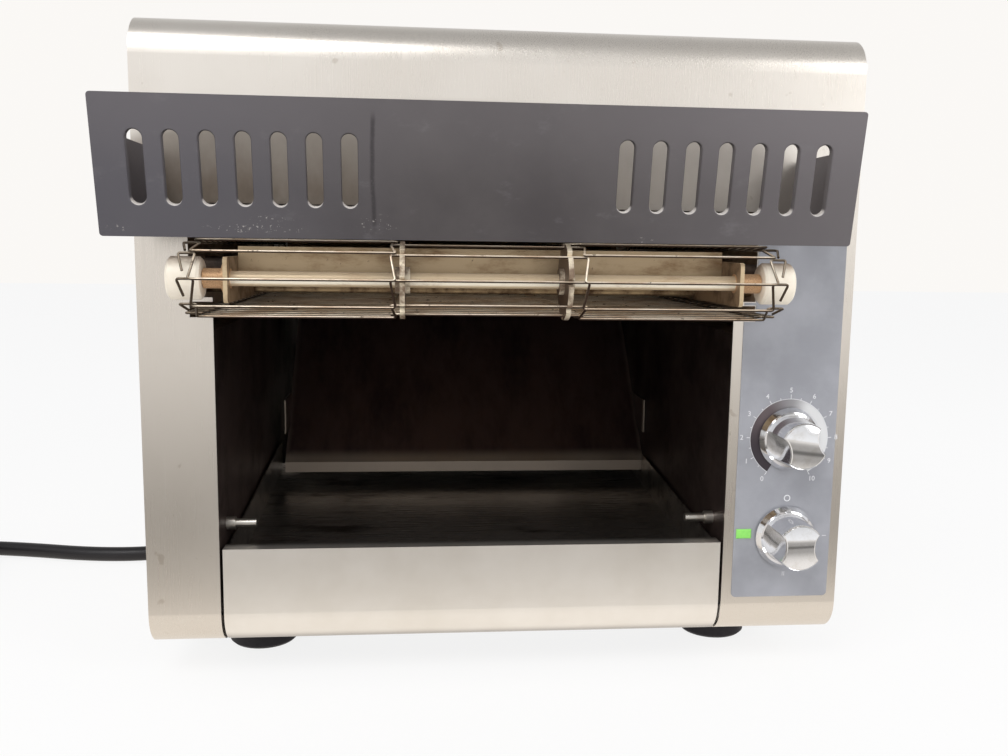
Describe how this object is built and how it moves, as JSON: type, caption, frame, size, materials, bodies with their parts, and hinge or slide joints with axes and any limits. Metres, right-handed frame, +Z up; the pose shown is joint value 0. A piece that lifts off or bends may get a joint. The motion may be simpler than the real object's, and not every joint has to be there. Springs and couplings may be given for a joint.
{
  "type": "conveyor toaster",
  "caption": "Countertop conveyor toaster: wire belt through a heated chamber, slotted heat shield, steep return chute, pull-out tray, two knobs, rubber feet and a coiled cord",
  "frame": {"origin": "on the table, under the middle of the footprint of the toaster with its screws and shield, without the cord", "axes": "+Z up; -Y is the front with the shield, belt nose and knobs; +X is to the right seen from the front"},
  "size_m": [0.8482, 0.6813, 0.435],
  "materials": {
    "stainless": "brushed stainless sheet",
    "stainless_inner": "stainless lining, browned by heat",
    "galvanised": "galvanised sheet",
    "black_paint": "dark grey textured paint",
    "overlay": "blue-grey printed film",
    "chrome_plastic": "bright chrome",
    "steel_wire": "bright steel wire, browned by heat",
    "steel": "turned steel",
    "bronze": "sintered bronze",
    "white_plastic": "white heat-proof plastic",
    "ceramic": "white ceramic",
    "heater": "dark sheathed element",
    "insulation": "mineral wool",
    "rubber": "black rubber",
    "black_plastic": "black moulding",
    "lamp": "green lens",
    "motor": "painted gearbox and motor",
    "board": "circuit board",
    "brass": "plated brass",
    "cord": "black cord sheath"
  },
  "bodies": {
    "casing": {"outer_wrap": "stainless", "left_side_panel": "stainless", "right_side_panel": "stainless", "base_pan": "galvanised", "back_panel": "stainless", "rubber_feet": "rubber", "casing_screws": "steel", "left_lining": "stainless_inner", "right_lining": "stainless_inner", "chamber_roof": "stainless_inner", "insulation": "insulation", "return_chute": "stainless_inner", "tray_runners": "galvanised", "tray_pins": "steel", "left_rail": "stainless_inner", "right_rail": "stainless_inner", "cross_bars": "steel", "idler_bushes": "bronze", "drive_bushes": "bronze", "wall_bearing": "bronze", "conveyor_belt": "steel_wire", "lower_reflector": "stainless_inner", "upper_reflector": "stainless_inner", "lower_heaters": "heater", "upper_heaters": "heater", "heater_caps": "ceramic", "heat_shield": "black_paint", "shield_brackets": "black_paint", "control_overlay": "overlay", "potentiometer": "black_plastic", "rotary_switch": "black_plastic", "lamp_lens": "lamp", "lamp_body": "black_plastic", "gearmotor": "motor", "motor_plate": "galvanised", "drive_chain": "steel", "speed_board": "board", "terminal_block": "black_plastic", "fan_frame": "black_plastic", "strain_relief": "black_plastic", "power_cord": "cord", "cord_coil": "cord", "cord_plug": "black_plastic", "plug_blades": "brass"},
    "drive": {"drive_shaft": "steel", "drive_sprockets": "steel", "drive_collars": "steel", "drive_chain_wheel": "steel"},
    "idler": {"idler_shaft": "steel", "idler_sprockets": "steel", "idler_rollers": "white_plastic"},
    "motor_output": {"motor_shaft": "steel", "motor_chain_wheel": "steel"},
    "fan": {"fan_impeller": "black_plastic"},
    "speed_control": {"speed_knob": "chrome_plastic", "speed_spindle": "steel"},
    "selector": {"selector_knob": "chrome_plastic", "selector_spindle": "steel"},
    "tray": {"product_tray": "stainless"}
  },
  "joints": [
    {"name": "belt_drive", "type": "hinge", "parent": "casing", "child": "drive", "pos_m": [-0.0155, 0.14608, 0.2743], "axis": [-1, 0, 0], "continuous": true, "deforming": ["conveyor_belt", "drive_chain"]},
    {"name": "idler_spin", "type": "hinge", "parent": "casing", "child": "idler", "pos_m": [-0.0155, -0.23342, 0.2743], "axis": [-1, 0, 0], "continuous": true},
    {"name": "motor_spin", "type": "hinge", "parent": "casing", "child": "motor_output", "pos_m": [0.193, 0.10684, 0.15352], "axis": [-1, 0, 0], "continuous": true},
    {"name": "fan_spin", "type": "hinge", "parent": "casing", "child": "fan", "pos_m": [0.196, 0.24859, 0.092], "axis": [0, 1, 0], "continuous": true},
    {"name": "speed_turn", "type": "hinge", "parent": "casing", "child": "speed_control", "pos_m": [0.1955, -0.18841, 0.1675], "axis": [0, -1, 0], "range_deg": [-162, 134]},
    {"name": "selector_turn", "type": "hinge", "parent": "casing", "child": "selector", "pos_m": [0.1965, -0.18841, 0.0985], "axis": [0, -1, 0], "range_deg": [-180, 0]},
    {"name": "tray_slide", "type": "slide", "parent": "casing", "child": "tray", "axis": [0, -1, 0], "range_m": [0, 0.105]}
  ],
  "couplings": [
    {"joint": "idler_spin", "follows": "belt_drive", "ratio": 1},
    {"joint": "motor_spin", "follows": "belt_drive", "ratio": 1}
  ]
}
